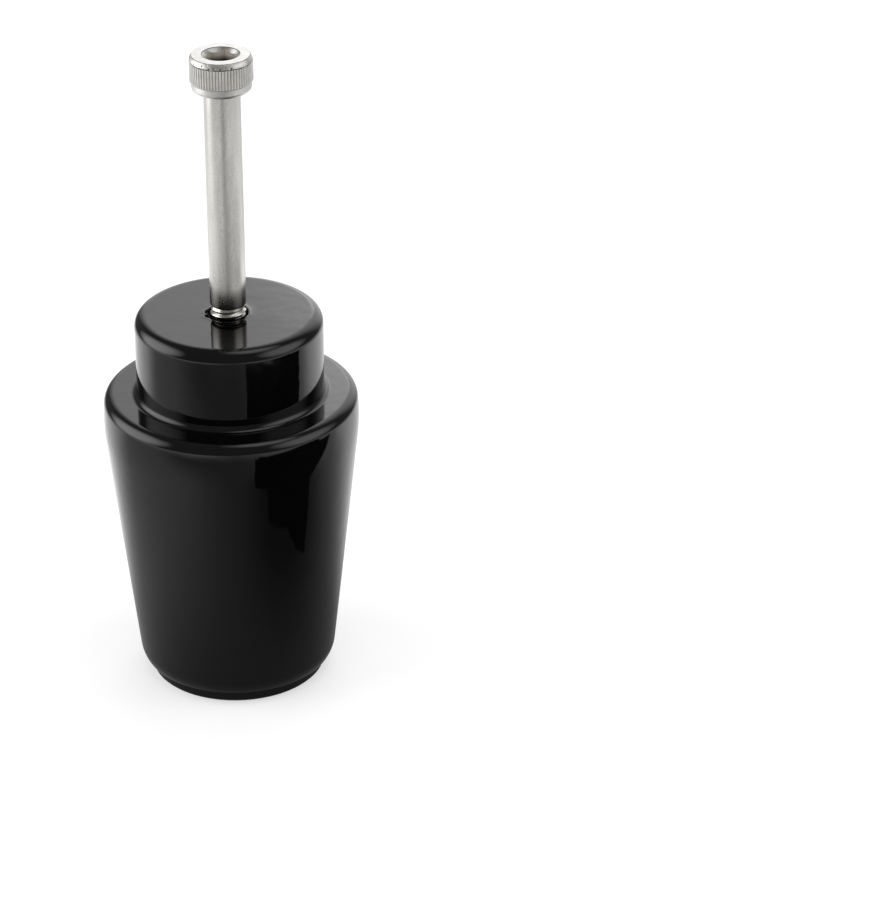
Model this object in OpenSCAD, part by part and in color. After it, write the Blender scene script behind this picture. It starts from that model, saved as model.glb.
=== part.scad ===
// Bar end weight: a turned, gloss coated steel weight with a socket head cap screw in its neck.
// The weight stands on its base ring. The origin is the centre of that ring, +Z runs along the axis.

/* [Weight body] */
// Largest diameter of the body, just under the shoulder
body_d = 41.9; // [38:0.1:46]
// Height of the weight from the base ring to the top of the neck
weight_h = 65; // [58:0.5:75]
// Taper of the body on each side, in degrees
taper_deg = 6.4; // [4:0.1:8]
// Radius of the barrel curve between the taper and the shoulder edge
barrel_r = 31.6; // [25:0.1:45]
// Height of the shoulder face above the widest point
crown_drop = 4.3; // [3.5:0.1:6]
// Rounding of the outer edge of the shoulder
shoulder_r = 1.8; // [1:0.1:3]

/* [Heel and base ring] */
// Height at which the taper starts to round in towards the base
heel_h = 4.6; // [4:0.1:7]
// Radius of that rounding
heel_r = 5; // [4:0.1:7]
// Height of the base ring
ring_h = 2.4; // [1.5:0.1:3]
// Width of the step from the heel in to the base ring
ring_step = 1.2; // [0.6:0.1:2]
// Chamfer on the lower edge of the base ring
ring_chamfer = 0.3; // [0.1:0.05:0.6]

/* [Neck] */
// Diameter of the neck that enters the bar end
neck_d = 30.7; // [26:0.1:33]
// Length of the neck above the shoulder face
neck_h = 13.9; // [10:0.1:18]
// Rounding of the top edge of the neck
neck_edge_r = 2; // [1:0.1:3]
// Fillet between the neck and the shoulder face
neck_root_r = 1; // [0.5:0.1:2]

/* [Thread and hole] */
// Thread diameter, shared by the screw and its hole
thread_d = 6; // [5:0.5:8]
// Thread pitch
pitch = 1; // [0.8:0.05:1.25]
// Gap all round between the thread crests and the plain bore that stands for the tapped hole
thread_clear = 0.1; // [0.05:0.05:0.2]
// Drilled depth left below the end of the screw
hole_spare = 3.5; // [2:0.5:6]
// Angle of the drill point
drill_point_deg = 118; // [90:1:130]
// Width of the countersink at the mouth of the hole, outside the bore
mouth_lip = 0.6; // [0.3:0.1:1.2]

/* [Cap screw] */
// Length of the screw under its head
screw_l = 60; // [50:5:70]
// Threaded length
thread_l = 23.2; // [20:0.2:28]
// How far the head's underside stands above the top of the neck
stand_off = 38.8; // [34:0.1:42]
// How much thinner the plain shank is than the thread
shank_less = 0.1; // [0.05:0.05:0.3]
// Rounding at the end of the plain shank
shank_end_r = 0.5; // [0.2:0.05:0.5]
// Fillet under the head
under_head_r = 0.25; // [0.15:0.05:0.4]
// Chamfer at the tip of the thread
tip_chamfer = 0.8; // [0.6:0.1:1]

/* [Screw head] */
// Diameter of the head over the knurl
head_d = 10.15; // [9:0.05:12]
// Height of the head
head_h = 6; // [5:0.1:8]
// Number of knurl teeth
knurl_teeth = 65; // [40:1:72]
// Depth of the knurl
knurl_depth = 0.18; // [0.1:0.02:0.25]
// Share of each knurl pitch taken by the crest
knurl_crest = 0.3; // [0.1:0.05:0.5]
// Height of the plain band under the knurl
band_h = 1.5; // [1.2:0.1:2]
// How far the plain band is cut in below the knurl crests
band_step = 0.27; // [0.25:0.01:0.5]
// Rounding of the lower edge of the plain band
band_edge_r = 0.7; // [0.3:0.1:1]
// Diameter of the flat top face of the head
head_flat_d = 9.3; // [8.6:0.05:9.6]
// Height of the rounded edge between the flat top face and the knurl
head_edge_h = 0.9; // [0.6:0.05:1.2]
// How far the knurl crests stand out past the rounded edge
knurl_proud = 0.06; // [0.02:0.01:0.1]
// How far the blank that the knurl is cut from stands out past its crests
knurl_relief = 0.1; // [0.05:0.05:0.2]
// Width across the flats of the hex socket
hex_af = 5; // [4:0.5:6]
// Depth of the hex socket
hex_depth = 3; // [2.5:0.1:3.5]
// Turn of the hex socket about the axis, as the screw came to stand
hex_turn_deg = 20; // [0:1:60]
// Width of the countersink round the hex socket, outside its corners
hex_lip = 0.2; // [0.1:0.05:0.3]
// How much smaller than the flats the drill under the hex socket is, on the radius
drill_less = 0.15; // [0.1:0.05:0.4]
// Angle of the drill point under the hex socket
socket_point_deg = 120; // [110:1:140]

/* [Hidden] */
$fn = 96;

// Heights
shoulder_z = weight_h - neck_h;
crown_z = shoulder_z - crown_drop;
head_z = weight_h + stand_off;
head_top = head_z + head_h;
thread_top = head_z - (screw_l - thread_l);
tip_z = head_z - screw_l;

// Barrel curve, and the point where it runs into the straight taper
barrel_c = [body_d / 2 - barrel_r, crown_z];
taper_top = barrel_c + barrel_r * [cos(taper_deg), -sin(taper_deg)];

// Shoulder edge rounding, tangent to the barrel curve inside it and to the shoulder face
edge_z = shoulder_z - shoulder_r;
edge_lean = asin((edge_z - crown_z) / (barrel_r - shoulder_r));
edge_c = barrel_c + (barrel_r - shoulder_r) * [cos(edge_lean), sin(edge_lean)];
edge_low_z = edge_c.y + shoulder_r * sin(edge_lean);

// Heel rounding, tangent to the taper at heel_h and cut off by the top of the base ring
heel_x = taper_top.x - (taper_top.y - heel_h) * tan(taper_deg);
heel_c = [heel_x, heel_h] + heel_r * [-cos(taper_deg), sin(taper_deg)];
heel_end_x = heel_c.x + sqrt(heel_r * heel_r - pow(heel_c.y - ring_h, 2));
ring_r = heel_end_x - ring_step;

// Rounded top edge of the head: an arc from the end of the knurl to the flat top face
knurl_end = head_top - head_edge_h;
cap_r = head_d / 2 - knurl_proud;
cap_span = cap_r - head_flat_d / 2;
cap_arc_r = (pow(cap_span, 2) + pow(head_edge_h, 2)) / (2 * cap_span);

// Thread form: 60 degree flanks with flats at the crest and the root
crest_flat = pitch / 8;
root_flat = pitch / 4;
flank = (pitch - crest_flat - root_flat) / 2;
minor_d = thread_d - 2 * flank / tan(30);

// Hole and shank
bore_r = thread_d / 2 + thread_clear;
hole_bottom = tip_z - hole_spare;
shank_d = thread_d - shank_less;

// How far a cut runs past the face that it opens
past = 1;

// Half section from the axis out to an arc, between two heights
module arc_slab(centre, r, low, high) {
    intersection() {
        translate(centre) circle(r, $fn = 180);
        translate([0, low]) square([centre.x + r, high - low]);
    }
    if (centre.x > 0) translate([0, low]) square([centre.x, high - low]);
}

// Half section with a hollow quarter round at its foot, which meets a face at height low
module root_slab(x, r, low) {
    difference() {
        translate([0, low]) square([x + r, r]);
        translate([x + r, low + r]) circle(r, $fn = 96);
    }
}

// Half section of a straight bore with a drill point
module bore_section(r, low, high, point_deg) {
    polygon([[0, low - r / tan(point_deg / 2)], [r, low], [r, high], [0, high]]);
}

// Half section of the whole weight, before the hole is cut
module weight_section() {
    square([neck_d / 2 - neck_edge_r, weight_h]);
    polygon([[0, 0], [ring_r - ring_chamfer, 0], [ring_r, ring_chamfer], [ring_r, ring_h], [0, ring_h]]);
    arc_slab(heel_c, heel_r, ring_h, heel_h);
    polygon([[0, heel_h], [heel_x, heel_h], taper_top, [0, taper_top.y]]);
    arc_slab(barrel_c, barrel_r, taper_top.y, edge_low_z);
    arc_slab(edge_c, shoulder_r, edge_low_z, shoulder_z);
    root_slab(neck_d / 2, neck_root_r, shoulder_z);
    translate([0, shoulder_z]) square([neck_d / 2, neck_h - neck_edge_r]);
    arc_slab([neck_d / 2 - neck_edge_r, weight_h - neck_edge_r], neck_edge_r, weight_h - neck_edge_r, weight_h);
}

// Turned weight with its blind hole and countersunk mouth
module weight() {
    color([0.05, 0.05, 0.055])
    difference() {
        rotate_extrude() weight_section();
        rotate_extrude() bore_section(bore_r, hole_bottom, weight_h + past, drill_point_deg);
        translate([0, 0, weight_h - mouth_lip])
            cylinder(r1 = bore_r, r2 = bore_r + mouth_lip + past, h = mouth_lip + past);
    }
}

// Half section of the thread as a row of grooves, with a plain chamfered tip
module thread_section() {
    crest = thread_d / 2;
    root = minor_d / 2;
    turns = floor((thread_l - shank_end_r - tip_chamfer) / pitch);
    start = thread_top - shank_end_r;
    grooves = [for (i = [0 : turns - 1]) let (z = start - i * pitch, low = z - root_flat - flank)
        each [[root, z], [root, z - root_flat], [crest, low], [crest, low - crest_flat]]];
    polygon(concat([[0, start]], grooves,
        [[root, start - turns * pitch], [crest - tip_chamfer, tip_z], [0, tip_z]]));
}

// Half section of the head blank and the plain shank
module shank_section() {
    root_r = shank_d / 2;
    translate([0, thread_top]) square([root_r, screw_l - thread_l]);
    arc_slab([root_r - shank_end_r, thread_top], shank_end_r, thread_top - shank_end_r, thread_top);
    translate([0, head_z]) mirror([0, 1]) root_slab(root_r, under_head_r, 0);
}

// Half section of the plain band and of the blank that the knurl is cut from
module head_section() {
    r = head_d / 2 + knurl_relief;
    low = head_d / 2 - band_step;
    arc_slab([low - band_edge_r, head_z + band_edge_r], band_edge_r, head_z, head_z + band_edge_r);
    polygon([[0, head_z + band_edge_r], [low, head_z + band_edge_r], [low, head_z + band_h],
        [r, head_z + band_h + r - low], [r, knurl_end - (r - cap_r)], [cap_r, knurl_end], [0, knurl_end]]);
}

// Outline of the straight knurl, looking along the axis
module knurl_outline() {
    step = 360 / knurl_teeth;
    crest_r = head_d / 2;
    root_r = crest_r - knurl_depth;
    polygon([for (i = [0 : knurl_teeth - 1]) let (a = i * step, half = step * knurl_crest / 2)
        each [crest_r * [cos(a - half), sin(a - half)], crest_r * [cos(a + half), sin(a + half)],
            root_r * [cos(a + step / 2), sin(a + step / 2)]]]);
}

// Hex socket with its countersink, which scallops the flats, and its drill point
module hex_socket() {
    mouth_r = hex_af / 2 / cos(30) + hex_lip;
    drill_r = hex_af / 2 - drill_less;
    bottom = head_top - hex_depth;
    translate([0, 0, bottom]) rotate([0, 0, hex_turn_deg])
        cylinder(r = hex_af / 2 / cos(30), h = hex_depth + past, $fn = 6);
    rotate_extrude() {
        bore_section(drill_r, bottom, head_top, socket_point_deg);
        polygon([[0, head_top - mouth_r], [mouth_r + past, head_top + past], [0, head_top + past]]);
    }
}

// Socket head cap screw, screwed part way into the weight
module cap_screw() {
    color([0.76, 0.75, 0.73]) {
        difference() {
            union() {
                intersection() {
                    rotate_extrude() head_section();
                    translate([0, 0, head_z - past]) linear_extrude(head_h + past) knurl_outline();
                }
                rotate_extrude() arc_slab([cap_r - cap_arc_r, knurl_end], cap_arc_r, knurl_end, head_top);
            }
            hex_socket();
        }
        rotate_extrude() {
            shank_section();
            thread_section();
        }
    }
}

weight();
cap_screw();
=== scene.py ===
# %% [markdown]
# A bar end weight: a heavy steel plug, turned on a lathe and powder coated gloss black, with a
# stainless socket head cap screw in its neck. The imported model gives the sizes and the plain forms.
# This script dresses it: it builds smooth meshes of the same form, gives them finishes that copy
# the real ones, lights them, and puts the camera where the photograph was taken from.

import math
import random

import bmesh
import bpy
from mathutils import Matrix, Vector


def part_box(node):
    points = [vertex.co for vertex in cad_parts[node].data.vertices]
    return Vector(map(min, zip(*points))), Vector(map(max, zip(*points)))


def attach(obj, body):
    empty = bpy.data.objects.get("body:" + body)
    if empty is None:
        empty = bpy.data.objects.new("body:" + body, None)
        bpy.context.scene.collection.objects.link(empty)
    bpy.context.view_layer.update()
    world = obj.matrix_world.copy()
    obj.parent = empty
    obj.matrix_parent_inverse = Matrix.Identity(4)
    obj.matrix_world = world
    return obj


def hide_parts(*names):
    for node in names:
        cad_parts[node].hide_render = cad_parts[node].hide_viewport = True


MM = 0.001
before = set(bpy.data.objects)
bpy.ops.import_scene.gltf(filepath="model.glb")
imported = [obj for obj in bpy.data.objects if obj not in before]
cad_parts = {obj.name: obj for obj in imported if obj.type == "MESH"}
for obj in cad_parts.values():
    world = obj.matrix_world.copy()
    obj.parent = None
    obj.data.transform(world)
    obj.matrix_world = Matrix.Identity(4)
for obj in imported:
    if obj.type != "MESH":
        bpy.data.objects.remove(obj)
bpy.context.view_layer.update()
print("nodes:", sorted(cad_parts))

# %% [markdown]
# Blender measures in metres, but a small turned part is easier to think of in millimetres. So every
# size is written in millimetres, and MM turns it to metres where a vertex is made. The ends of the
# two pieces are read from the model's own boxes, so the dressed pieces sit where it says. The other
# sizes could be measured on its meshes, but a radius is hard to get back from facets, so they
# repeat the sizes that the model was drawn with. The screw comes first, because the hole fits it.

# %% Sizes of the screw's shank and thread, in millimetres
screw_low, screw_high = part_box("cap_screw")
head_top = screw_high.z / MM
tip_z = screw_low.z / MM
head_h = 6.0
head_z = head_top - head_h
shank_l = 36.8
shank_r = 2.95
shank_end_r = 0.5
under_head_r = 0.25
thread_top = head_z - shank_l
thread_r = 3.0
minor_r = 2.459
pitch = 1.0
tip_chamfer = 0.8
print("screw:", round(head_top - tip_z, 2), "mm long, threaded below", round(thread_top, 2), "mm")

# %% Sizes of the screw's head, in millimetres, with the turn of the hexagon in degrees
head_r = 5.075
head_flat_r = 4.65
head_edge_h = 0.9
knurl_teeth = 65
knurl_depth = 0.18
knurl_proud = 0.06
band_h = 1.5
band_step = 0.27
band_r = head_r - band_step
band_edge_r = 0.7
hex_af = 5.0
hex_depth = 3.0
hex_turn = 20
hex_lip = 0.2
socket_drill_r = 2.35
socket_half_angle = 60
print("head:", 2 * head_r, "mm over its", knurl_teeth, "teeth, with a hexagon of", hex_af, "mm")

# %% Sizes of the weight, in millimetres
weight_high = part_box("weight")[1]
weight_h = weight_high.z / MM
body_r = weight_high.x / MM
taper = math.radians(6.4)
barrel_r = 31.6
shoulder_r = 1.8
neck_h = 13.9
neck_r = 15.35
neck_edge_r = 2.0
neck_root_r = 1.0
crown_drop = 4.3
shoulder_z = weight_h - neck_h
crown_z = shoulder_z - crown_drop
heel_z = 4.6
heel_r = 5.0
ring_h = 2.4
ring_step = 1.2
ring_chamfer = 0.3
thread_clear = 0.1
hole_spare = 3.5
drill_half_angle = 59
bore_r = thread_r + thread_clear
bore_bottom = tip_z - hole_spare
drill_point = bore_r / math.tan(math.radians(drill_half_angle))
print("weight:", round(weight_h, 2), "mm high,", round(2 * body_r, 2), "mm across")

# %% [markdown]
# The camera comes early, so that every later look is judged from the right place. It was fitted to
# the outlines in the photograph: a long lens about 0.6 m away, looking down by 27.6 degrees. A
# Track To constraint could aim it, but a matrix keeps the fitted numbers as they are. Blender's
# camera looks along its own -Z, so turned up from there by 90 degrees less the tilt it looks along
# +Y and down. It sits right of the axis, which puts the object left of the picture's middle.

# %% Camera
lens_length = 148.69
look_down = 27.6046
camera_roll = -0.0957
camera_spot = Vector((34.093, -544.46, 324.41))

camera_data = bpy.data.cameras.new("camera")
camera_data.sensor_width = 36
camera_data.lens = lens_length
camera_data.clip_start = 0.01
camera = bpy.data.objects.new("camera", camera_data)
tilt = Matrix.Rotation(math.radians(90 - look_down), 4, "X")
spin = Matrix.Rotation(math.radians(camera_roll), 4, "Z")
camera.matrix_world = Matrix.Translation(camera_spot * MM) @ tilt @ spin
bpy.context.scene.collection.objects.link(camera)
bpy.context.scene.camera = camera
bpy.context.scene.view_settings.view_transform = "Standard"
print("camera at", [round(v / MM, 1) for v in camera.matrix_world.translation], "mm")

# %% [markdown]
# Materials are trees of nodes. They could be drawn by hand in the shader editor, but a script can be
# read and repeated. One small function adds any node, sets it up and links it, so each material
# reads from top to bottom. Colours are written as sRGB hex, the way a paint chip is read off a
# screen, and one function turns them into the linear values that a shader adds and multiplies.


# %% Helpers for colours and nodes
def hex_colour(code):
    channels = [int(code[i:i + 2], 16) / 255 for i in (1, 3, 5)]
    linear = [c / 12.92 if c <= 0.04045 else ((c + 0.055) / 1.055) ** 2.4 for c in channels]
    return (*linear, 1.0)


def add(tree, kind, inputs=None, stops=(), **settings):
    """Adds a node. An input takes a value, a socket, or a node, which stands for its first output.

    stops are the places and colours of the two ends of a colour ramp.
    """
    node = tree.nodes.new(kind)
    for name, value in settings.items():
        setattr(node, name, value)
    for key, value in (inputs or {}).items():
        if isinstance(value, bpy.types.Node):
            value = value.outputs[0]
        if isinstance(value, bpy.types.NodeSocket):
            tree.links.new(value, node.inputs[key])
        else:
            node.inputs[key].default_value = value
    for n, (position, code) in enumerate(stops):
        node.color_ramp.elements[n].position = position
        node.color_ramp.elements[n].color = hex_colour(code)
    return node


def new_material(name):
    material = bpy.data.materials.new(name)
    material.use_nodes = True
    material.node_tree.nodes.clear()
    return material, material.node_tree


def per_mm(size):
    """Scale of a noise whose largest features are about this many millimetres across."""
    return 1 / (size * MM)


print("hex #808080 is", round(hex_colour("#808080")[0], 4), "in linear light")

# %% [markdown]
# Gloss black powder coat is a thick film of baked plastic, a dielectric with an IOR near 1.5. The
# black gives almost nothing back, so nearly all that the eye sees is the mirror image of the room in
# the film. Powder never flows out quite flat, so that image wavers over a few millimetres, and it is
# a little hazier in some patches than in others. A displaced mesh could carry the waves, but bump
# bends the reflection just as well and leaves the outline clean. Waves of a few millimetres are
# usual for powder. How deep they are, and how hazy the film is, was set.


# %% Gloss black powder coat
coat_wave = 3.5
coat_wave_depth = 0.03
coat_haze = 9.0


def gloss_black_powder_coat():
    material, tree = new_material("gloss_black_powder_coat")
    place = add(tree, "ShaderNodeTexCoord").outputs["Object"]
    waves = add(tree, "ShaderNodeTexNoise", {"Vector": place, "Scale": per_mm(coat_wave), "Detail": 1.5})
    haze = add(tree, "ShaderNodeTexNoise", {"Vector": place, "Scale": per_mm(coat_haze), "Detail": 4.0})
    black = add(tree, "ShaderNodeValToRGB", {"Fac": haze}, stops=[(0.3, "#020203"), (0.7, "#050505")])
    rough = add(tree, "ShaderNodeMapRange", {"Value": haze, "From Min": 0.3, "From Max": 0.7,
                                             "To Min": 0.035, "To Max": 0.075})
    bump = add(tree, "ShaderNodeBump", {"Strength": 1.0, "Distance": coat_wave_depth * MM,
                                        "Height": waves})
    coat = add(tree, "ShaderNodeBsdfPrincipled", {"Base Color": black, "Roughness": rough,
                                                  "IOR": 1.5, "Normal": bump})
    add(tree, "ShaderNodeOutputMaterial", {"Surface": coat})
    return material


black_coat = gloss_black_powder_coat()
print("made", black_coat.name, "with waves", coat_wave, "mm long")

# %% [markdown]
# Round the hole the coat is broken off, and the bore under it is bare steel painted near black:
# painted shade for the deep shadow in the hole. At the torn edge the near black is the coat's own.
# Both are dull and gritty beside the gloss. They could have a material each, but they are a strip a
# few pixels wide in the shade of the screw, so one dark, rough material does for both.


# %% Torn edge of the coat
grit_size = 0.3
grit_depth = 0.03


def torn_coat_edge():
    material, tree = new_material("torn_coat_and_shaded_bore")
    place = add(tree, "ShaderNodeTexCoord").outputs["Object"]
    grit = add(tree, "ShaderNodeTexNoise", {"Vector": place, "Scale": per_mm(grit_size), "Detail": 3.0})
    # Near black: painted shade in the bore, and the coat's own black at the torn edge
    dark = add(tree, "ShaderNodeValToRGB", {"Fac": grit}, stops=[(0.35, "#060505"), (0.65, "#17120E")])
    bump = add(tree, "ShaderNodeBump", {"Strength": 1.0, "Distance": grit_depth * MM, "Height": grit})
    surface = add(tree, "ShaderNodeBsdfPrincipled", {"Base Color": dark, "Roughness": 0.75,
                                                     "IOR": 1.5, "Normal": bump})
    add(tree, "ShaderNodeOutputMaterial", {"Surface": surface})
    return material


torn_edge = torn_coat_edge()
print("made", torn_edge.name, "with grit", grit_size, "mm across")

# %% [markdown]
# A cap screw is A2 stainless steel. It is a metal, so its colour is its reflection: a warm light
# grey. One function makes every finish of it, because they differ only in their numbers. The marks
# of the tool are noise, used twice: as bump, and as a change of roughness. A larger noise stains the
# colour. Real tool marks are a few hundredths of a millimetre wide, and a pixel of the picture
# covers about 0.17 mm, so the marks are drawn several times coarser than real to show at all.
# Some places are darker: a second colour is mixed in by height or by radius. It could be a second
# shader, but a tint is enough. On the shank that tint is a painted reflection, on the thread a
# painted shadow, and in the knurl and the socket it only darkens the colour. Metallic is below 1
# where a film or fine teeth scatter the light: it makes a part of the surface diffuse. How far below
# was matched to the photograph.


# %% Stainless steel, one function for every finish of it
stain_size = 1.2


def stainless_steel(name, light, dark, smooth, rough, grain, depth, streak=1.0, metallic=1.0,
                    dark_below=None, dark_inward=None):
    """A finish of the steel, with its lightest and darkest colour and its range of roughness.

    grain is the size of the marks and depth how deep they are, both in mm. streak is how many times
    longer than wide they are, along the screw. The last two arguments each give a darker colour: the
    first with the height below which it is full and the one above which it is gone, the second the
    same by radius from the axis. A finish has one or the other. On the shank this darker colour is a
    painted reflection, on the thread a painted shadow.
    """
    material, tree = new_material(name)
    place = add(tree, "ShaderNodeTexCoord").outputs["Object"]
    drawn = add(tree, "ShaderNodeMapping", {"Vector": place, "Scale": (1, 1, 1 / streak)})
    marks = add(tree, "ShaderNodeTexNoise", {"Vector": drawn, "Scale": per_mm(grain), "Detail": 3.0})
    stains = add(tree, "ShaderNodeTexNoise", {"Vector": drawn, "Scale": per_mm(stain_size), "Detail": 3.0})
    tone = add(tree, "ShaderNodeValToRGB", {"Fac": stains}, stops=[(0.35, dark), (0.65, light)])
    if dark_below or dark_inward:
        colour, full, gone = dark_below or dark_inward
        parts = add(tree, "ShaderNodeSeparateXYZ", {"Vector": place})
        measured = parts.outputs["Z"]
        if dark_inward:
            level = add(tree, "ShaderNodeCombineXYZ", {"X": parts.outputs["X"], "Y": parts.outputs["Y"]})
            measured = add(tree, "ShaderNodeVectorMath", {0: level}, operation="LENGTH").outputs["Value"]
        untinted = add(tree, "ShaderNodeMapRange", {"Value": measured, "From Min": full * MM,
                                                 "From Max": gone * MM})
        # Inputs 6 and 7 of a Mix node are its two colours, and output 2 is their mixture.
        mixture = add(tree, "ShaderNodeMix", {"Factor": untinted, 6: hex_colour(colour), 7: tone},
                      data_type="RGBA")
        tone = mixture.outputs[2]
    spread = add(tree, "ShaderNodeMapRange", {"Value": marks, "From Min": 0.3, "From Max": 0.7,
                                              "To Min": smooth, "To Max": rough})
    bump = add(tree, "ShaderNodeBump", {"Strength": 1.0, "Distance": depth * MM, "Height": marks})
    steel = add(tree, "ShaderNodeBsdfPrincipled", {"Base Color": tone, "Metallic": metallic,
                                                   "Roughness": spread, "Normal": bump})
    add(tree, "ShaderNodeOutputMaterial", {"Surface": steel})
    return material


print("stains in the steel are about", stain_size, "mm across")

# %% [markdown]
# The shank is drawn wire, tumbled to a fine satin: short faint streaks along it. Just above the
# thread it is darker, a painted reflection of the black weight under it. The thread is rolled between
# dies, so it is the smoothest of the steel. Where it goes into the hole it is painted black, a
# painted shadow of the hole.

# %% Finishes of the shank and the thread
# The darker band just above the thread is a painted reflection of the black weight in the shank
satin_shank = stainless_steel("a2_stainless_tumbled_shank", "#DEDCD8", "#CCCAC6", 0.22, 0.30,
                              grain=0.14, depth=0.0005, streak=9,
                              dark_below=("#7A7670", thread_top - 0.5, thread_top + 3.6))
# Below the weight's top face the thread is painted black: a painted shadow of the hole
rolled_thread = stainless_steel("a2_stainless_rolled_thread", "#E4E1DC", "#D2CFC9", 0.20, 0.30,
                                grain=0.3, depth=0.004,
                                dark_below=("#15110D", weight_h - 0.25, weight_h + 0.02))
print("made", satin_shank.name, "and", rolled_thread.name)

# %% [markdown]
# The blank of the head is cold headed: its top face comes out a fine satin, and its edge a little
# rougher. The knurl is rolled in, which leaves bright crests, and its colour darkens towards the
# bottoms of the grooves. The hexagon is broached, which drags streaks down its sides; they turn dark
# brown towards the floor, and the floor is dark brown. The seams between one surface and the next
# are painted near black, a painted shade that draws the thin dark lines that make the head easy to
# read.

# %% Finishes of the head
satin_face = stainless_steel("a2_stainless_satin_head", "#E4E3E1", "#D6D5D2", 0.30, 0.42,
                             grain=0.25, depth=0.005)
rolled_edge = stainless_steel("a2_stainless_rolled_edge", "#E6E5E3", "#D0CECB", 0.42, 0.54,
                              grain=0.4, depth=0.008)
rolled_knurl = stainless_steel("a2_stainless_rolled_knurl", "#F0EEEB", "#E2E0DD", 0.38, 0.48,
                               grain=0.3, depth=0.003, metallic=0.55,
                               dark_inward=("#BDB8AE", head_r - knurl_depth, head_r - 0.06))
broached_socket = stainless_steel("a2_stainless_broached_socket", "#FAF4EA", "#DCD4C8", 0.30, 0.45,
                                  grain=0.4, depth=0.012, streak=4, metallic=0.35,
                                  dark_below=("#3A2E22", head_top - 2.1, head_top - 1.2))
dark_brown_steel = stainless_steel("a2_stainless_dark_brown", "#6E5E4A", "#3A3026", 0.35, 0.50,
                             grain=0.5, depth=0.015, metallic=0.5)
# Painted shade: the near-black lines in the creases between one surface and the next
shaded_seam = stainless_steel("a2_stainless_painted_shade_seam", "#7C7870", "#1C1915", 0.40, 0.60,
                             grain=0.3, depth=0.010, metallic=0.7)
print("made", satin_face.name, rolled_edge.name, rolled_knurl.name, broached_socket.name)

# %% [markdown]
# Anything turned on a lathe is one outline spun about an axis. The Screw modifier can spin one, but
# the knurl, the hexagon and the thread aren't round, so all the meshes here are made the same plain
# way: an outline is a list of points, each a radius and a height, and each point becomes a ring of
# vertices. Arcs are cut into short steps. A straight stretch gets a holding point just inside each
# end, because smooth shading averages the normals of neighbours and would bend the long flat face.


# %% Outline helpers
HOLD = 0.04


def arc(centre, r, start, end, step=3.0):
    """Points on an arc about centre, from one angle to the other, in degrees from +X."""
    count = max(2, math.ceil(abs(end - start) / step))
    angles = [math.radians(start + (end - start) * i / count) for i in range(count + 1)]
    return [(centre[0] + r * math.cos(a), centre[1] + r * math.sin(a)) for a in angles]


def between(start, end, share):
    return tuple(a + (b - a) * share for a, b in zip(start, end))


def straight(start, end):
    """The ends of a straight stretch, each with a holding point beside it."""
    length = math.dist(start, end)
    keep = min(HOLD, length / 3) / length
    return [start, between(start, end, keep), between(start, end, 1 - keep), end]


def joined(*stretches):
    """One outline from several stretches, without the points that they share."""
    points = []
    for stretch in stretches:
        for point in stretch:
            if not points or math.dist(points[-1], point) > 1e-4:
                points.append(point)
    return points


print("a quarter of a circle is cut into", len(arc((0, 0), 1, 0, 90)) - 1, "steps")

# %% [markdown]
# The mesh helpers use bmesh, Blender's editable mesh: vertices and faces are made one by one, with
# a material number on each face. Every face is shaded smooth, and an edge is marked sharp where its
# faces turn by a large angle. A bevel could soften those edges, but the real roundings are in the
# outline already.


# %% Mesh helpers
CRISP_ANGLE = 28


def bridge(bm, lower, upper, material=0):
    """Faces between two closed rings. A ring of one vertex is a point on the axis."""
    count = max(len(lower), len(upper))
    for i in range(count):
        k = (i + 1) % count
        corners = [lower[i % len(lower)], lower[k % len(lower)], upper[k % len(upper)], upper[i % len(upper)]]
        corners = [v for n, v in enumerate(corners) if v not in corners[:n]]
        bm.faces.new(corners).material_index = material


def soft_edges(bm):
    for face in bm.faces:
        face.smooth = True
    for edge in bm.edges:
        edge.smooth = edge.calc_face_angle(0.0) < math.radians(CRISP_ANGLE)


def finished(bm, name, *materials):
    bmesh.ops.recalc_face_normals(bm, faces=bm.faces)
    soft_edges(bm)
    mesh = bpy.data.meshes.new(name)
    bm.to_mesh(mesh)
    bm.free()
    for material in materials:
        mesh.materials.append(material)
    piece = bpy.data.objects.new(name, mesh)
    bpy.context.scene.collection.objects.link(piece)
    print(name, "has", len(mesh.vertices), "vertices and", len(mesh.polygons), "faces")
    return piece


print("edges stay crisp where their faces turn by more than", CRISP_ANGLE, "degrees")

# %% [markdown]
# The weight's outline runs from the middle of its base, up the outside, over the neck and down into
# the hole. The taper, the barrel curve and the roundings at heel and shoulder are tangent to each
# other, as one pass of a form tool leaves them. Such points could be placed by eye, but a gloss coat
# shows every kink as a bent reflection, so they are worked out.

# %% Where the curves of the weight meet
barrel_c = (body_r - barrel_r, crown_z)
taper_top = (barrel_c[0] + barrel_r * math.cos(taper), barrel_c[1] - barrel_r * math.sin(taper))
edge_z = shoulder_z - shoulder_r
edge_lean = math.asin((edge_z - crown_z) / (barrel_r - shoulder_r))
edge_c = (barrel_c[0] + (barrel_r - shoulder_r) * math.cos(edge_lean), edge_z)
heel_x = taper_top[0] - (taper_top[1] - heel_z) * math.tan(taper)
heel_c = (heel_x - heel_r * math.cos(taper), heel_z + heel_r * math.sin(taper))
heel_end = math.asin((heel_c[1] - ring_h) / heel_r)
heel_end_x = heel_c[0] + heel_r * math.cos(heel_end)
ring_r = heel_end_x - ring_step
root_c = (neck_r + neck_root_r, shoulder_z + neck_root_r)
top_c = (neck_r - neck_edge_r, weight_h - neck_edge_r)
print("the taper ends at", [round(v, 2) for v in taper_top], "and the base ring's radius is",
      round(ring_r, 2))

# %% Outline of the weight
taper_deg = math.degrees(taper)
lean_deg = math.degrees(edge_lean)
top_flat_end = 5.2
bore_top = weight_h - 0.8

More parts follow.
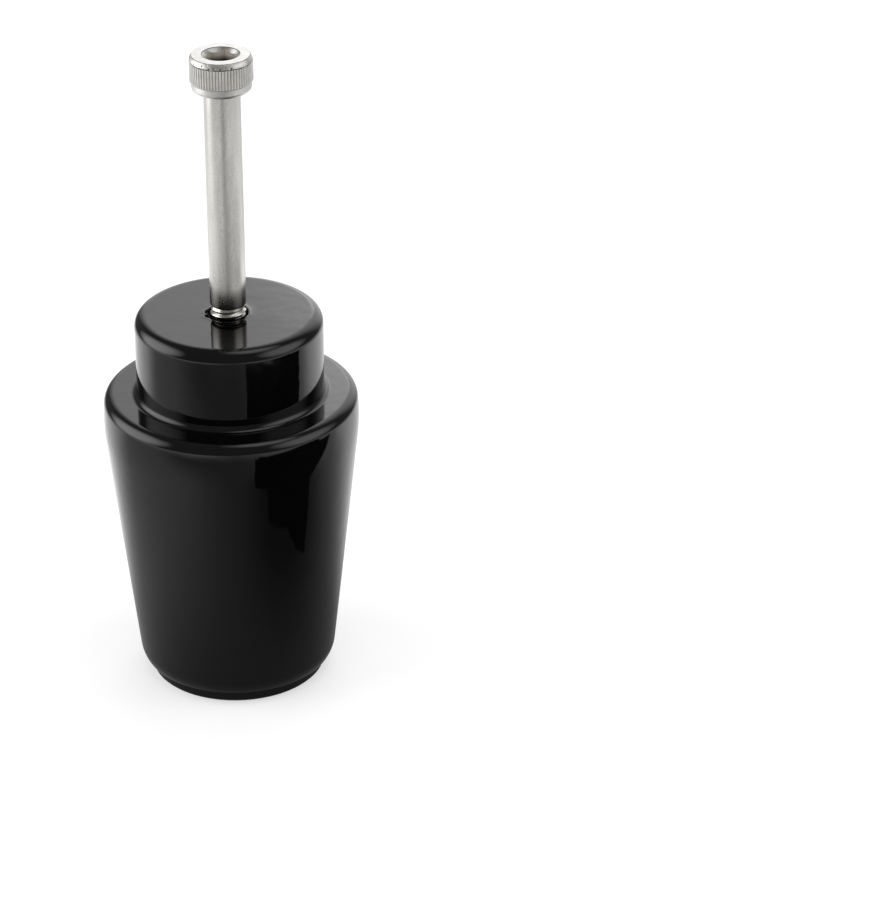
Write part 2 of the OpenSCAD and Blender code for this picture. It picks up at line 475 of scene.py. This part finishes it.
weight_outline = joined(
    straight((0, 0), (ring_r - ring_chamfer, 0)),
    straight((ring_r - ring_chamfer, 0), (ring_r, ring_chamfer)),
    straight((ring_r, ring_chamfer), (ring_r, ring_h)),
    straight((ring_r, ring_h), (heel_end_x, ring_h)),
    arc(heel_c, heel_r, -math.degrees(heel_end), -taper_deg),
    straight((heel_x, heel_z), taper_top),
    arc(barrel_c, barrel_r, -taper_deg, lean_deg, step=0.7),
    arc(edge_c, shoulder_r, lean_deg, 90),
    straight((edge_c[0], shoulder_z), (root_c[0], shoulder_z)),
    arc(root_c, neck_root_r, 270, 180),
    straight((neck_r, root_c[1]), (neck_r, top_c[1])),
    arc(top_c, neck_edge_r, 0, 90),
    straight((top_c[0], weight_h), (top_flat_end, weight_h)),
)
hole_outline = joined(
    straight((bore_r, bore_top), (bore_r, bore_bottom)),
    straight((bore_r, bore_bottom), (0, bore_bottom - drill_point)),
)
print("outline points:", len(weight_outline), "outside,", len(hole_outline), "in the hole")

# %% [markdown]
# Round the hole the coat isn't a clean circle. The powder builds up to a thin bead at an edge, and
# the screw has broken pieces of it off, mostly at the left. A boolean with a rough shape could cut
# it, but that leaves messy faces in a mirror finish. Here the rings near the hole follow a radius
# that changes with the angle: a smooth curve through listed points, and small random chips.
# Angles count from the right, round to the back, the left and the front.

# %% Radius of the torn edge round the hole
# Each pair is the angle in degrees and the radius in mm
MOUTH = [(0, 3.25), (50, 3.35), (120, 3.42), (160, 3.45), (172, 3.80), (186, 3.85), (192, 3.48),
         (200, 4.08), (208, 4.10), (218, 3.72), (240, 3.68), (262, 3.80), (285, 3.74), (305, 3.52),
         (330, 3.34), (360, 3.25)]
CHIPS = 96
chip_depth = 0.045
chips = random.Random(7)
chip_size = [chips.uniform(-chip_depth, chip_depth) for _ in range(CHIPS)]


def mouth_radius(angle):
    """Radius of the torn edge at an angle in degrees."""
    angle %= 360
    for (a, low), (b, high) in zip(MOUTH, MOUTH[1:]):
        if a <= angle <= b:
            t = (angle - a) / (b - a)
            t = t * t * (3 - 2 * t)
            return low + (high - low) * t + chip_size[int(angle / (360 / CHIPS)) % CHIPS]


mouth = [mouth_radius(a) for a in range(360)]
print("the torn edge is", round(min(mouth), 2), "to", round(max(mouth), 2), "mm from the axis")

# %% Rings of the bead and the torn edge
# Each pair is how far out from the torn edge a ring lies, and how far above the top face, in mm
BEAD = [(0.75, 0.0), (0.5, 0.012), (0.3, 0.035), (0.15, 0.04)]
TORN = [(0.05, 0.015), (0.0, -0.05), (-0.03, -0.2)]
bare_edge = 0.02


def mouth_rings(around):
    rings = []
    for out, up in BEAD + TORN:
        ring = []
        for a in around:
            r = max(bore_r + bare_edge, mouth_radius(math.degrees(a)) + out)
            ring.append((r * math.cos(a), r * math.sin(a), weight_h + up))
        rings.append(ring)
    return rings


print("the bead stands", max(up for out, up in BEAD), "mm above the top face")

# %% [markdown]
# Now the outline is spun. A ring of 288 vertices keeps the sides of the circle under half a
# millimetre long, so that reflections stay smooth. The piece then rides on the model's one body and
# stands in for the plain node, which stays in the model for collision.


# %% Turn the weight
WEIGHT_STEPS = 288


def turned(outline, around):
    """Rings of points, one ring for each point of the outline."""
    rings = []
    for r, z in outline:
        if r < 1e-6:
            rings.append([(0, 0, z)])
        else:
            rings.append([(r * math.cos(a), r * math.sin(a), z) for a in around])
    return rings


def weight_piece():
    around = [math.tau * i / WEIGHT_STEPS for i in range(WEIGHT_STEPS)]
    bm = bmesh.new()
    points = turned(weight_outline, around) + mouth_rings(around) + turned(hole_outline, around)
    rings = [[bm.verts.new(Vector(p) * MM) for p in ring] for ring in points]
    torn_from = len(weight_outline) + len(BEAD)
    for n, (lower, upper) in enumerate(zip(rings, rings[1:])):
        bridge(bm, lower, upper, 1 if n >= torn_from else 0)
    return finished(bm, "turned_weight", black_coat, torn_edge)


weight = weight_piece()
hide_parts("weight")
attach(weight, "root")

# %% [markdown]
# The screw is not round all over: its knurl has teeth and its socket is a hexagon. Both could be cut
# with booleans, but they are rings as well, if each ring's radius is a function of the angle. One
# shared list of angles holds every tooth edge and every corner of the hexagon, so no corner is cut
# off and every ring can be bridged to the next.


# %% Angles round the screw, with its knurl and hexagon
# Half the flat crest, and all the places where a tooth's outline bends, as shares of one tooth
CREST = 0.15
TOOTH_PARTS = (-CREST, 0.0, CREST, 0.33, 0.5, 0.67)
tooth = 360 / knurl_teeth
tooth_angles = {round((i + part) * tooth % 360, 4) for i in range(knurl_teeth) for part in TOOTH_PARTS}
hex_corners = {float(hex_turn + 60 * i) for i in range(6)}
screw_angles = sorted(tooth_angles | hex_corners)


def knurl_radius(angle):
    """Radius of the knurl: a flat crest on each tooth, and a straight sided groove between."""
    off = abs((angle / tooth + 0.5) % 1 - 0.5)
    rise = min(1, max(0, (0.5 - off) / (0.5 - CREST)))
    return head_r - knurl_depth * (1 - rise)


def hex_radius(angle):
    """Radius of the hexagon: shortest at the middle of a flat."""
    off = math.radians((angle - hex_turn) % 60 - 30)
    return hex_af / 2 / math.cos(off)


print(len(screw_angles), "angles round the screw, a tooth every", round(tooth, 2), "degrees")

# %% [markdown]
# The edge of the head has small dark nicks, such as a slipped key or a fall leaves. Sculpting could
# make them. Here each nick is a round dent: it presses the nearby points of the edge band towards
# the axis, deepest in its middle. The faces inside it get the dark brown finish of the socket's
# floor. The band's lower edge also waves a little, as a rolled edge does.

# %% Nicks in the head's edge
# Each row is the angle in degrees, how far below the top of the head, the size and the depth, in mm
NICKS = [(261, 0.62, 0.22, 0.14), (281, 0.50, 0.16, 0.12), (237, 0.50, 0.15, 0.12), (272, 0.80, 0.26, 0.08),
         (251, 0.80, 0.22, 0.08), (292, 0.74, 0.24, 0.08), (246, 0.24, 0.12, 0.08), (215, 0.70, 0.20, 0.06)]
dark_share = 0.6
band_wave = 0.022


def aside(angle, at):
    """Distance round the head between two angles, in mm."""
    return head_r * math.radians((angle - at + 180) % 360 - 180)


def nicked(r, z, angle):
    """A point of the edge band, with its waviness and the nicks near it pressed in."""
    turn = math.radians(angle)
    wave = math.sin(5 * turn + 1) + math.sin(11 * turn) + math.sin(23 * turn + 2)
    z += band_wave * wave * (head_top - z) / head_edge_h
    for at, below, size, press in NICKS:
        away = aside(angle, at) ** 2 + (head_top - z - below) ** 2
        r -= press * math.exp(-away / size ** 2 * 2)
    return r, z


def in_a_nick(spot):
    angle = math.degrees(math.atan2(spot.y, spot.x))
    for at, below, size, press in NICKS:
        if math.hypot(aside(angle, at), head_top - spot.z - below) < size * dark_share:
            return True
    return False


print(len(NICKS), "nicks, the deepest", max(press for at, below, size, press in NICKS), "mm")

# %% [markdown]
# The head's rows run from the floor of the socket up, over the edge and down to the shank. A row is
# a radius and a height at each angle, with the number of its finish. The socket could be cut with a
# boolean, but the cone of its countersink is easy to work out: it reaches deeper on the flats than at
# the corners, which scallops the flats. A groove painted dark, a painted shade, parts the smooth edge
# band from the knurl. At its ends the knurl runs out on a slope, so each point there takes the
# smaller of the slope's radius and the knurl's.


# %% Helpers for the rows of the head
EDGE, KNURL, FACE, SHANK, SOCKET, THREAD, DARK_BROWN, SEAM = range(8)


def ring_row(r, z, finish):
    return [(r, z)] * len(screw_angles), finish


def knurl_row(r, z, finish):
    return [(min(r, knurl_radius(a)), z) for a in screw_angles], finish


def nicked_row(r, z, finish):
    return [nicked(r, z, a) for a in screw_angles], finish


def ring_rows(points, finish):
    return [ring_row(r, z, finish) for r, z in points]


print("each row of the screw has", len(ring_row(head_r, head_top, FACE)[0]), "points")

# %% Rows of the socket
countersink_slope = 1.2
rim_chamfer = 0.08
socket_floor = head_top - hex_depth
socket_mouth_r = hex_af / 2 / math.cos(math.radians(30)) + hex_lip


def socket_rows():
    flats = [(hex_radius(a), socket_floor) for a in screw_angles]
    sunk = [(r, head_top - countersink_slope * (socket_mouth_r - r)) for r, z in flats]
    return [
        ring_row(socket_drill_r, socket_floor, DARK_BROWN),
        (flats, DARK_BROWN),
        (sunk, SOCKET),
        ring_row(socket_mouth_r - rim_chamfer, head_top - countersink_slope * rim_chamfer, FACE),
        ring_row(socket_mouth_r, head_top, SEAM),
    ]


print("the socket is", hex_depth, "mm deep and", round(2 * socket_mouth_r, 2), "mm across its mouth")

# %% Rows of the top face, the edge band and the knurl
seam = 0.14
knurl_end = head_top - head_edge_h
band_foot = head_z + band_h
cap_r = head_r - knurl_proud
cap_span = cap_r - head_flat_r
cap_arc_r = (cap_span ** 2 + head_edge_h ** 2) / (2 * cap_span)
cap_lean = math.degrees(math.asin(head_edge_h / cap_arc_r))


def edge_rows():
    flat = [(socket_mouth_r + HOLD, head_top), (head_flat_r - HOLD, head_top)]
    band = arc((cap_r - cap_arc_r, knurl_end), cap_arc_r, cap_lean, 0, step=4)
    rows = ring_rows(flat + band[:1], FACE)
    rows.append(nicked_row(*band[1], SEAM))
    rows += [nicked_row(r, z, EDGE) for r, z in band[2:]]
    rows.append(nicked_row(cap_r - seam, knurl_end - seam / 2, SEAM))
    return rows


def knurl_rows():
    rows = [
        knurl_row(cap_r, knurl_end - seam, SEAM),
        knurl_row(head_r, knurl_end - seam + cap_r - head_r, KNURL),
    ]
    for r in (head_r, head_r - knurl_depth / 2, head_r - knurl_depth):
        rows.append(knurl_row(r, band_foot + r - band_r, KNURL))
    return rows


print("the edge band is", head_edge_h, "mm high, with a radius of", round(cap_arc_r, 2), "mm")


# %% Rows of the band under the knurl, and of the shank
def shank_rows():
    band_edge_c = (band_r - band_edge_r, head_z + band_edge_r)
    root = (shank_r + under_head_r, head_z - under_head_r)
    end_c = (shank_r - shank_end_r, thread_top)
    rows = ring_rows(straight((band_r, band_foot), (band_r, band_edge_c[1])), FACE)
    rows += ring_rows(arc(band_edge_c, band_edge_r, 0, -90, step=9)[1:], FACE)
    rows += ring_rows(straight((band_edge_c[0], head_z), (root[0], head_z))[1:], SHANK)
    rows += ring_rows(arc(root, under_head_r, 90, 180, step=15)[1:], SHANK)
    rows += ring_rows(straight((shank_r, root[1]), (shank_r, thread_top))[1:], SHANK)
    rows += ring_rows(arc(end_c, shank_end_r, 0, -70, step=10)[1:], SHANK)
    return rows


screw_rows = socket_rows() + edge_rows() + knurl_rows() + shank_rows()
print(len(screw_rows), "rows from the floor of the socket to the end of the shank")

# %% [markdown]
# The thread is M6 with a pitch of 1 mm. A modifier could wind a profile round the shank, but its end
# would have to be joined to the shank by hand. Here the rows slope: going once round, each row
# climbs by one pitch and meets the row that started one turn higher, which is all that a screw
# thread is. Below the shank the groove starts at about half its depth and is full after two and a
# half turns, as rolling dies leave it. At the tip a chamfer cuts the crests down.


# %% Rows of the thread
STEPS = 8
crest_share = 1 / 8
root_share = 1 / 4
tip_r = thread_r - tip_chamfer
# Where the thread fades in, it stands out from a blank of this radius, and is cut into it as well
blank_r = 2.68
fade_start = 0.55
fade_turns = 2.5
# The place along one pitch where the thread begins, set so that its first crests show as they should
phase = 0.62


def thread_profile(turn):
    """Height of the thread from root (0) to crest (1), for a place along one pitch."""
    off = abs((turn % 1) - 0.5)
    flank = (1 - crest_share - root_share) / 2
    return min(1, max(0, (0.5 - root_share / 2 - off) / flank))


def vertex(bm, r, angle, z):
    a = math.radians(angle)
    return bm.verts.new(Vector((r * math.cos(a), r * math.sin(a), z)) * MM)


def thread_rows(bm):
    """Sloping rows of vertices, from the end of the shank down to where the chamfered tip begins."""
    start = thread_top - shank_end_r
    turns = int((start - tip_z - tip_chamfer) / pitch)
    rows = []
    for j in range(turns * STEPS + 1):
        full = minor_r + (thread_r - minor_r) * thread_profile(j / STEPS + phase)
        row = []
        for a in screw_angles:
            z = start - pitch - j * pitch / STEPS + pitch * a / 360
            fade = min(1, fade_start + (1 - fade_start) * (start - z) / pitch / fade_turns)
            r = min(blank_r + (full - blank_r) * fade, tip_r + z - tip_z)
            row.append(vertex(bm, r, a, z))
        rows.append(row)
    return rows


print("the thread has", STEPS, "rows to a turn and lies", minor_r, "to", thread_r, "mm from the axis")

# %% [markdown]
# Last, the rows become faces. The rows of the head close on themselves, so they are bridged. The
# rows of the thread are open strips, joined end to start along one seam. Because a sloping row ends
# one pitch away from where it began, a wedge stays open above the first row and below the last, and
# a fan of triangles closes each. The tip is closed too, though nobody sees it in its hole: a part
# that others will use should be a whole solid, so the open edges are counted at the end.


# %% Head and shank of the screw
def vertex_rows(bm, rows):
    return [[vertex(bm, r, a, z) for (r, z), a in zip(row, screw_angles)] for row, finish in rows]


def add_head_and_shank(bm):
    rings = vertex_rows(bm, screw_rows)
    socket_point = socket_floor - socket_drill_r / math.tan(math.radians(socket_half_angle))
    bridge(bm, [vertex(bm, 0, 0, socket_point)], rings[0], DARK_BROWN)
    for upper, lower, (row, finish) in zip(rings, rings[1:], screw_rows[1:]):
        bridge(bm, upper, lower, finish)
    for face in bm.faces:
        if face.material_index == EDGE and in_a_nick(face.calc_center_median() / MM):
            face.material_index = DARK_BROWN
    return rings[-1]


screw_mesh = bmesh.new()
shank_end = add_head_and_shank(screw_mesh)
print("head and shank have", len(screw_mesh.faces), "faces")


# %% Thread and tip of the screw
def strip(bm, upper, lower, material):
    """Faces between two rows that don't close on themselves."""
    for i in range(len(upper) - 1):
        bm.faces.new((upper[i], upper[i + 1], lower[i + 1], lower[i])).material_index = material


def fan(bm, hub, rim, material):
    """Triangles from one vertex to each step of a chain of others."""
    for near, far in zip(rim, rim[1:]):
        bm.faces.new((hub, near, far)).material_index = material


def add_thread(bm, shank_end):
    rows = thread_rows(bm)
    for upper, lower in zip(rows, rows[1:]):
        strip(bm, upper, lower, THREAD)
    strip(bm, [row[-1] for row in rows[STEPS:]], [row[0] for row in rows[:-STEPS]], THREAD)
    tip_ring = [vertex(bm, tip_r, a, tip_z) for a in screw_angles]
    strip(bm, shank_end, rows[0], THREAD)
    strip(bm, rows[-1], tip_ring, THREAD)
    last_column = [row[-1] for row in reversed(rows[:STEPS + 1])]
    fan(bm, rows[0][0], last_column + [shank_end[-1], shank_end[0]], THREAD)
    first_column = [row[0] for row in rows[-1 - STEPS:]]
    fan(bm, rows[-1][-1], first_column + [tip_ring[0], tip_ring[-1]], THREAD)
    bridge(bm, tip_ring, [vertex(bm, 0, 0, tip_z)], THREAD)


add_thread(screw_mesh, shank_end)
print("with its thread the screw has", len(screw_mesh.faces), "faces")

# %% The screw as a piece
# The finishes stand in the order of EDGE, KNURL, FACE, SHANK, SOCKET, THREAD, DARK_BROWN and SEAM
print("open edges in the screw:", sum(1 for edge in screw_mesh.edges if len(edge.link_faces) != 2))
screw = finished(screw_mesh, "cap_screw_dressed", rolled_edge, rolled_knurl, satin_face, satin_shank,
                 broached_socket, rolled_thread, dark_brown_steel, shaded_seam)
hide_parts("cap_screw")
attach(screw, "root")

# %% [markdown]
# The object stands on pale paper, and the camera looks down, so the paper fills the picture. It is
# pure white there because it glows for the camera, for reflections and for glass, which the Light
# Path node tells apart from other rays. For the light that falls on it, it stays paper, and keeps
# the object's shadow. More lamps could make it white, but they would wash out the object too. Close
# by the paper needs only half the glow, because the lamps light it as well. Far away they don't.


# %% Pale paper that is white to the eye
near_glow = 0.55
lamps_fade = 400
lamps_end = 1200


def seen_by_eye(tree, strength):
    """A strength that counts only for rays of the camera, of reflections and of glass."""
    rays = add(tree, "ShaderNodeLightPath")
    seen = add(tree, "ShaderNodeMath", {0: rays.outputs["Is Camera Ray"], 1: rays.outputs["Is Glossy Ray"]},
               operation="MAXIMUM")
    seen = add(tree, "ShaderNodeMath", {0: seen, 1: rays.outputs["Is Transmission Ray"]},
               operation="MAXIMUM")
    return add(tree, "ShaderNodeMath", {0: seen, 1: strength}, operation="MULTIPLY")


def pale_floor():
    material, tree = new_material("pale_paper_floor")
    paper = add(tree, "ShaderNodeBsdfDiffuse", {"Color": hex_colour("#D0D0D0")})
    place = add(tree, "ShaderNodeTexCoord").outputs["Object"]
    away = add(tree, "ShaderNodeVectorMath", {0: place}, operation="LENGTH")
    level = add(tree, "ShaderNodeMapRange", {"Value": away.outputs["Value"], "From Min": lamps_fade * MM,
                                             "From Max": lamps_end * MM, "To Min": near_glow},
                interpolation_type="SMOOTHSTEP")
    white = add(tree, "ShaderNodeEmission", {"Color": (1, 1, 1, 1), "Strength": seen_by_eye(tree, level)})
    both = add(tree, "ShaderNodeAddShader", {0: paper, 1: white})
    add(tree, "ShaderNodeOutputMaterial", {"Surface": both})
    return material


floor_paper = pale_floor()
print("made", floor_paper.name)


# %% Floor
def square(half):
    return [(-half, -half), (half, -half), (half, half), (-half, half)]


def flat_card(name, outline, z, material):
    mesh = bpy.data.meshes.new(name)
    mesh.from_pydata([Vector((x, y, z)) * MM for x, y in outline], [], [tuple(range(len(outline)))])
    mesh.materials.append(material)
    card = bpy.data.objects.new(name, mesh)
    bpy.context.scene.collection.objects.link(card)
    return card


# The floor, the tent's floor and the flat card lie a hair apart, so no two share a plane
floor_half = 3000
floor_z = -0.02
flat_card("floor", square(floor_half), floor_z, floor_paper)
print("the floor is", 2 * floor_half * MM, "m wide")

# %% [markdown]
# The world is the light from all round, as in a white room. An image of a real studio could do it,
# but a plain grey keeps colours as they are written. Like the floor, it is pure white to the eye and
# dimmer as a light.

# %% World
sky_level = 0.45

world = bpy.data.worlds.new("studio")
world.use_nodes = True
bpy.context.scene.world = world
sky = world.node_tree
sky.nodes.clear()
white_sky = add(sky, "ShaderNodeMath", {0: seen_by_eye(sky, 1 - sky_level), 1: sky_level},
                operation="ADD")
background = add(sky, "ShaderNodeBackground", {"Color": (1, 1, 1, 1), "Strength": white_sky})
add(sky, "ShaderNodeOutputWorld", {"Surface": background})
print("the world lights the object at", sky_level, "and looks white")

# %% [markdown]
# Four softboxes shape the object: large area lamps, whose light is soft because it comes from a wide
# surface. Point lamps would draw hard shadows. They are hidden from the camera and from reflections,
# so they give only the diffuse light and the shadow. What the gloss mirrors comes in the next step.

# %% Softboxes
studio_middle = Vector((0, 0, 50))
softbox_distance = 900
# Each row is the name, the azimuth round to the right, the elevation, the width and height in mm,
# and the radiance of the lamp's face
SOFTBOXES = [
    ("left_softbox", -82, 30, 700, 600, 2.0),
    ("right_softbox", 88, 30, 560, 600, 1.4),
    ("back_softbox", 172, 40, 560, 500, 1.8),
    ("overhead_softbox", 20, 75, 600, 600, 1.2),
]


def towards(azimuth, elevation):
    """Direction for an azimuth from the camera round to the right, and a height above level."""
    a, e = math.radians(azimuth), math.radians(elevation)
    return Vector((math.sin(a) * math.cos(e), -math.cos(a) * math.cos(e), math.sin(e)))


for name, azimuth, elevation, width, height, radiance in SOFTBOXES:
    data = bpy.data.lights.new(name, "AREA")
    data.shape = "RECTANGLE"
    data.size = width * MM
    data.size_y = height * MM
    data.energy = radiance * math.pi * data.size * data.size_y
    lamp = bpy.data.objects.new(name, data)
    aim = towards(azimuth, elevation)
    lamp.location = (studio_middle + aim * softbox_distance) * MM
    lamp.rotation_euler = aim.to_track_quat("Z", "Y").to_euler()
    lamp.visible_camera = False
    lamp.visible_glossy = False
    bpy.context.scene.collection.objects.link(lamp)
    print(name, "gives", round(data.energy, 2), "W")

# %% [markdown]
# A gloss black object is photographed in a light tent: white nylon walls with brighter patches where
# the lamps shine through. The coat mirrors them, and these reflections are what shows its shape. So
# a tent stands round the object here as well. Only reflections see it, so it adds no diffuse light
# and casts no shadow. But it does stand between the object and the white floor and world, so coat
# and metal mirror the tent and not that white. An environment image could do the same, but it would
# be infinitely far, and the real walls are near. The patches were set until the reflections matched
# the photograph.

# %% Walls of the light tent, which only reflections see
tent_r = 300
tent_base = 0.17
TENT_STEPS = 96
# Each row is the name, the azimuth, the elevation, the angles from its middle to where it starts to
# fade and to where it is gone, all in degrees, and its radiance
PATCHES = [
    ("left window", -90, 17, 6, 39, 2.9),
    ("right window", 72, 24, 6, 36, 1.45),
    ("back wall", 168, 22, 4, 46, 1.33),
    ("back corner", 173, 22, 3, 11, 1.0),
    ("overhead", 78, 75, 3, 22, 1.3),
]


def reflected_only(card):
    card.visible_camera = False
    card.visible_diffuse = False
    card.visible_transmission = False
    card.visible_shadow = False
    return card


def tent_material():
    material, tree = new_material("white_nylon_light_tent")
    place = add(tree, "ShaderNodeTexCoord").outputs["Object"]
    from_middle = add(tree, "ShaderNodeVectorMath", {0: place, 1: studio_middle * MM}, operation="SUBTRACT")
    toward = add(tree, "ShaderNodeVectorMath", {0: from_middle}, operation="NORMALIZE")
    total = tent_base
    for name, azimuth, elevation, inner, outer, radiance in PATCHES:
        near = add(tree, "ShaderNodeVectorMath", {0: toward, 1: towards(azimuth, elevation)},
                   operation="DOT_PRODUCT", label=name)
        glow = add(tree, "ShaderNodeMapRange", {"Value": near.outputs["Value"],
                                                "From Min": math.cos(math.radians(outer)),
                                                "From Max": math.cos(math.radians(inner)),
                                                "To Max": radiance}, interpolation_type="SMOOTHSTEP")
        total = add(tree, "ShaderNodeMath", {0: total, 1: glow}, operation="ADD")
    light = add(tree, "ShaderNodeEmission", {"Strength": total})
    add(tree, "ShaderNodeOutputMaterial", {"Surface": light})
    material.cycles.emission_sampling = "NONE"
    return material


def tent():
    around = [math.tau * i / TENT_STEPS for i in range(TENT_STEPS)]
    low = math.degrees(math.asin(-studio_middle.z / tent_r))
    wall = arc((0, studio_middle.z), tent_r, low, 90, step=4)[:-1] + [(0, studio_middle.z + tent_r)]
    bm = bmesh.new()
    rings = [[bm.verts.new(Vector(p) * MM) for p in ring] for ring in turned(wall, around)]
    for lower, upper in zip(rings, rings[1:]):
        bridge(bm, lower, upper)
    dome = finished(bm, "light_tent", tent_material())
    return reflected_only(dome)


tent()
print("the tent is", 2 * tent_r, "mm across, with", len(PATCHES), "bright patches")

# %% [markdown]
# Black things in the studio matter as much as lights: they are what makes the coat look deep. A roll
# of black card lies on the floor at the right, and a flat one beside it has the stepped outline that
# the coat mirrors on the body and the neck. The outline was found by following rays from the camera
# off the coat to the floor. A dark patch in the coat's colour would be simpler, but it would stay
# where it is. A card in the room slides over the object when the camera moves, as it should.

# %% Black cards
card_glow = 0.015
roll_r = 14
roll_start = Vector((30, -71, roll_r))
roll_end = Vector((90, -27, roll_r))
ROLL_STEPS = 48
card_z = 0.02
# Corners of the flat card in mm: how far right of the axis, and how far behind it
CARD = [(38, -61), (33, -52), (45, -39), (44.5, -29), (47, -20), (68, -23), (145, 10), (143, -32),
        (127, -73), (97, -109), (54, -137), (28, -76)]


def black_card_material():
    material, tree = new_material("black_card")
    light = add(tree, "ShaderNodeEmission", {"Strength": card_glow})
    add(tree, "ShaderNodeOutputMaterial", {"Surface": light})
    material.cycles.emission_sampling = "NONE"
    return material


def black_roll():
    across = Vector((0, 0, 1)).cross((roll_end - roll_start).normalized())
    angles = [math.tau * i / ROLL_STEPS for i in range(ROLL_STEPS)]
    around = [across * roll_r * math.cos(a) + Vector((0, 0, roll_r * math.sin(a))) for a in angles]
    bm = bmesh.new()
    rings = [[bm.verts.new((end + out) * MM) for out in around] for end in (roll_start, roll_end)]
    bridge(bm, *rings)
    for ring in rings:
        bm.faces.new(ring)
    roll = finished(bm, "black_card_roll", black_card_material())
    return reflected_only(roll)


black_roll()
reflected_only(flat_card("black_card_flat", CARD, card_z, black_card_material()))
print("the roll is", round((roll_end - roll_start).length, 1), "mm long, the card has", len(CARD), "corners")

# %% [markdown]
# The tent's floor glows, and its glow is painted light and shadow in place of grey paper under
# the lamps. The camera looks down, so the upright sides of the coat mirror little else, and the
# floor's shades are what models the body: painted light to the left, the right and the back, dark in
# front, and a painted shadow where the object and the roll stand on it. An image could hold such
# shades. Here each is one smooth band across the floor, set as the patches were, and they are added
# and multiplied.

# %% Shades of the tent's floor
tent_floor_z = 0.01
near_level = 0.22
far_level = 0.48
roll_middle = Vector((58, -48, 0))
# Each row is what is measured, the two places in mm between which the shade changes, and its two values
# The bands are painted light and shadow: lighter to the sides and behind, a painted shadow under the object
# and the roll
BANDS = {
    "left": ("x", 10, -60, 0.0, 0.36),
    "front": ("y", -125, -50, 0.0, 1.0),
    "right": ("x", 15, 140, 0.0, 0.4),
    "behind": ("y", 2, 58, 0.0, 1.0),
    "beside": ("width", 0, 40, 0.0, 0.8),
    "far left": ("x", 20, -75, 0.0, 0.52),
    "far right": ("x", 20, 110, 0.0, 0.4),
    "outer": ("distance", 135, 185, 0.0, 1.0),
    "painted object shadow": ("distance", 14, 45, 0.85, 1.0),
    "painted roll shadow": ("from roll", 20, 60, 0.25, 1.0),
}
print("the tent's floor is shaded by", len(BANDS), "bands")


# %% Floor of the light tent
def tent_floor_material():
    material, tree = new_material("tent_floor_painted_light_and_shadow")
    place = add(tree, "ShaderNodeTexCoord").outputs["Object"]
    parts = add(tree, "ShaderNodeSeparateXYZ", {"Vector": place})
    width = add(tree, "ShaderNodeMath", {0: parts.outputs["X"]}, operation="ABSOLUTE")
    distance = add(tree, "ShaderNodeVectorMath", {0: place}, operation="LENGTH")
    from_roll = add(tree, "ShaderNodeVectorMath", {0: place, 1: roll_middle * MM}, operation="DISTANCE")
    measured = {"x": parts.outputs["X"], "y": parts.outputs["Y"], "width": width,
                "distance": distance.outputs["Value"], "from roll": from_roll.outputs["Value"]}
    band = {}
    for name, (what, start, end, low, high) in BANDS.items():
        band[name] = add(tree, "ShaderNodeMapRange", {"Value": measured[what], "From Min": start * MM,
                                                      "From Max": end * MM, "To Min": low, "To Max": high},
                         interpolation_type="SMOOTHSTEP", label=name)
    left = add(tree, "ShaderNodeMath", {0: band["left"], 1: band["front"]}, operation="MULTIPLY")
    back = add(tree, "ShaderNodeMath", {0: band["behind"], 1: band["beside"]}, operation="MULTIPLY")
    sides = add(tree, "ShaderNodeMath", {0: left, 1: band["right"]}, operation="ADD")
    near = add(tree, "ShaderNodeMath", {0: sides, 1: back}, operation="ADD")
    near = add(tree, "ShaderNodeMath", {0: near, 1: near_level}, operation="ADD")
    far = add(tree, "ShaderNodeMath", {0: band["far left"], 1: band["far right"]}, operation="ADD")
    far = add(tree, "ShaderNodeMath", {0: far, 1: far_level}, operation="ADD")
    level = add(tree, "ShaderNodeMix", {"Factor": band["outer"], "A": near, "B": far})
    shade = add(tree, "ShaderNodeMath", {0: band["painted object shadow"], 1: band["painted roll shadow"]},
                operation="MULTIPLY")
    strength = add(tree, "ShaderNodeMath", {0: level, 1: shade}, operation="MULTIPLY")
    light = add(tree, "ShaderNodeEmission", {"Strength": strength})
    add(tree, "ShaderNodeOutputMaterial", {"Surface": light})
    material.cycles.emission_sampling = "NONE"
    return material


reflected_only(flat_card("tent_floor", square(tent_r), tent_floor_z, tent_floor_material()))
print("the tent's floor is", 2 * tent_r, "mm wide")
